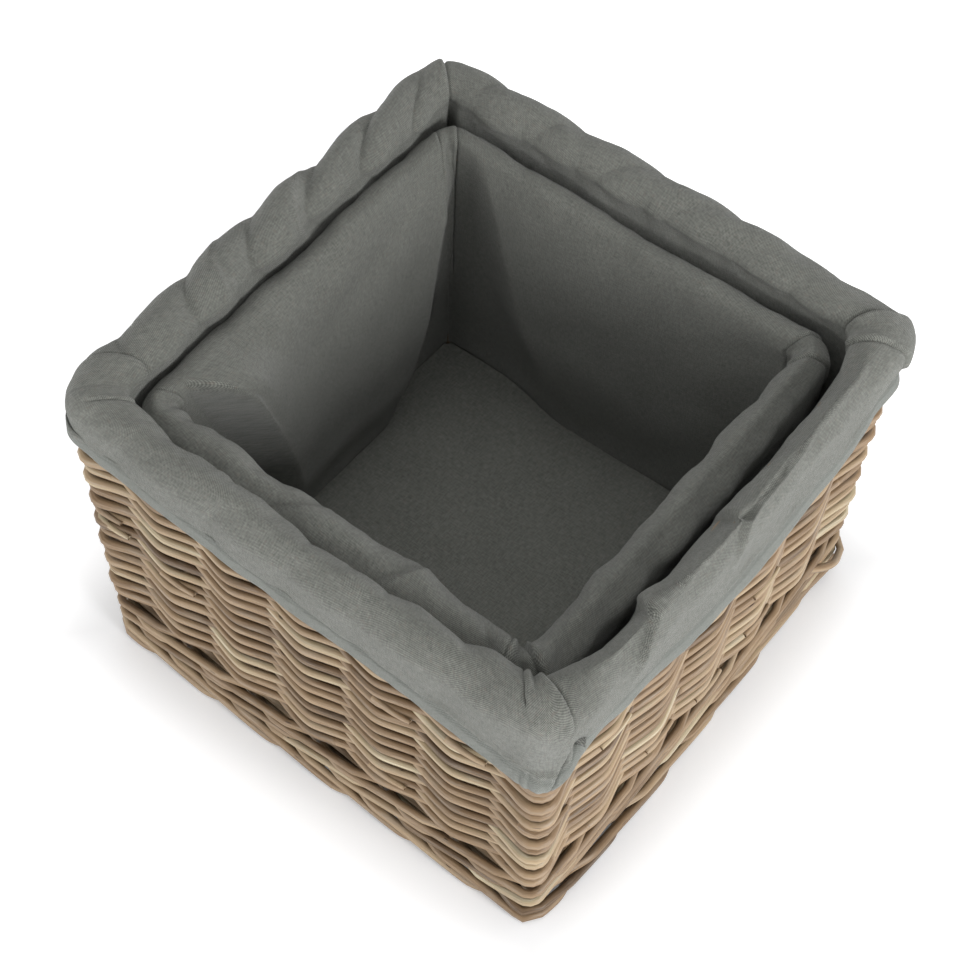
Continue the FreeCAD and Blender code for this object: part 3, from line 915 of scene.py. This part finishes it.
outer_floor = floor_cloth("outer", 0.0, 172.8, 71)
inner_floor = floor_cloth("inner", INNER_CX, 149.6, 72)


# ------------------------------------------------------------------ stage, light, camera
def stage_floor():
    """White floor that glows a little away from the basket, so that it burns out to white."""
    bpy.ops.mesh.primitive_grid_add(x_subdivisions=4, y_subdivisions=4, size=14,
                                    location=(0, 0, -0.0003))
    o = bpy.context.object
    o.name = "studio_floor"
    m, t, shader = new_material("studio_white")
    shader.inputs["Base Color"].default_value = (0.93, 0.935, 0.945, 1)
    shader.inputs["Roughness"].default_value = 0.9
    shader.inputs["Specular IOR Level"].default_value = 0.1
    shader.inputs["Emission Color"].default_value = (1, 1, 1, 1)
    sep = node(t, "ShaderNodeSeparateXYZ")
    t.links.new(node(t, "ShaderNodeTexCoord").outputs["Object"], sep.inputs[0])
    away = math_node(t, "MAXIMUM", math_node(t, "ABSOLUTE", sep.outputs["X"]),
                     math_node(t, "ABSOLUTE", sep.outputs["Y"]))
    glow = math_node(t, "MULTIPLY_ADD", smooth_node(t, away, 0.187, 0.27), 0.36, 0.12)
    t.links.new(glow, shader.inputs["Emission Strength"])
    o.data.materials.append(m)


stage_floor()


def area(name, location, target, size, power):
    """Square white light aimed at a target."""
    light = bpy.data.lights.new(name, "AREA")
    light.size = size
    light.energy = power
    o = bpy.data.objects.new(name, light)
    o.location = location
    o.rotation_euler = (Vector(target) - Vector(location)).to_track_quat("-Z", "Y").to_euler()
    bpy.context.scene.collection.objects.link(o)


area("key_right", (2.7, -0.35, 1.05), (0, 0, 0.15), size=1.0, power=56)
area("fill_front", (-0.7, -2.7, 0.42), (0, 0, 0.15), size=1.4, power=34)
area("top_soft", (0.0, 0.0, 3.0), (0, 0, 0.1), size=2.6, power=20)
world = bpy.data.worlds.new("studio")
world.use_nodes = True
world.node_tree.nodes["Background"].inputs["Color"].default_value = (1, 1, 1, 1)
world.node_tree.nodes["Background"].inputs["Strength"].default_value = 0.53
bpy.context.scene.world = world
bpy.context.scene.view_settings.view_transform = "Standard"

cam_data = bpy.data.cameras.new("camera")
cam_data.sensor_width = 36
cam_data.lens = 85.3
cam = bpy.data.objects.new("camera", cam_data)
# where it looks: yaw from +X, angle below the horizon, and roll
yaw, down, roll = (math.radians(a) for a in (126.11, 54.99, 2.31))
forward = Vector((math.cos(down) * math.cos(yaw), math.cos(down) * math.sin(yaw), -math.sin(down)))
level = Vector((math.sin(yaw), -math.cos(yaw), 0))
above = level.cross(forward)
right = level * math.cos(roll) + above * math.sin(roll)
up = -level * math.sin(roll) + above * math.cos(roll)
rot = Matrix((right, up, -forward)).transposed()
cam.matrix_world = Matrix.Translation((0.5278, -0.7314, 1.4364)) @ rot.to_4x4()
cam_data.clip_end = 50
bpy.context.scene.collection.objects.link(cam)
bpy.context.scene.camera = cam
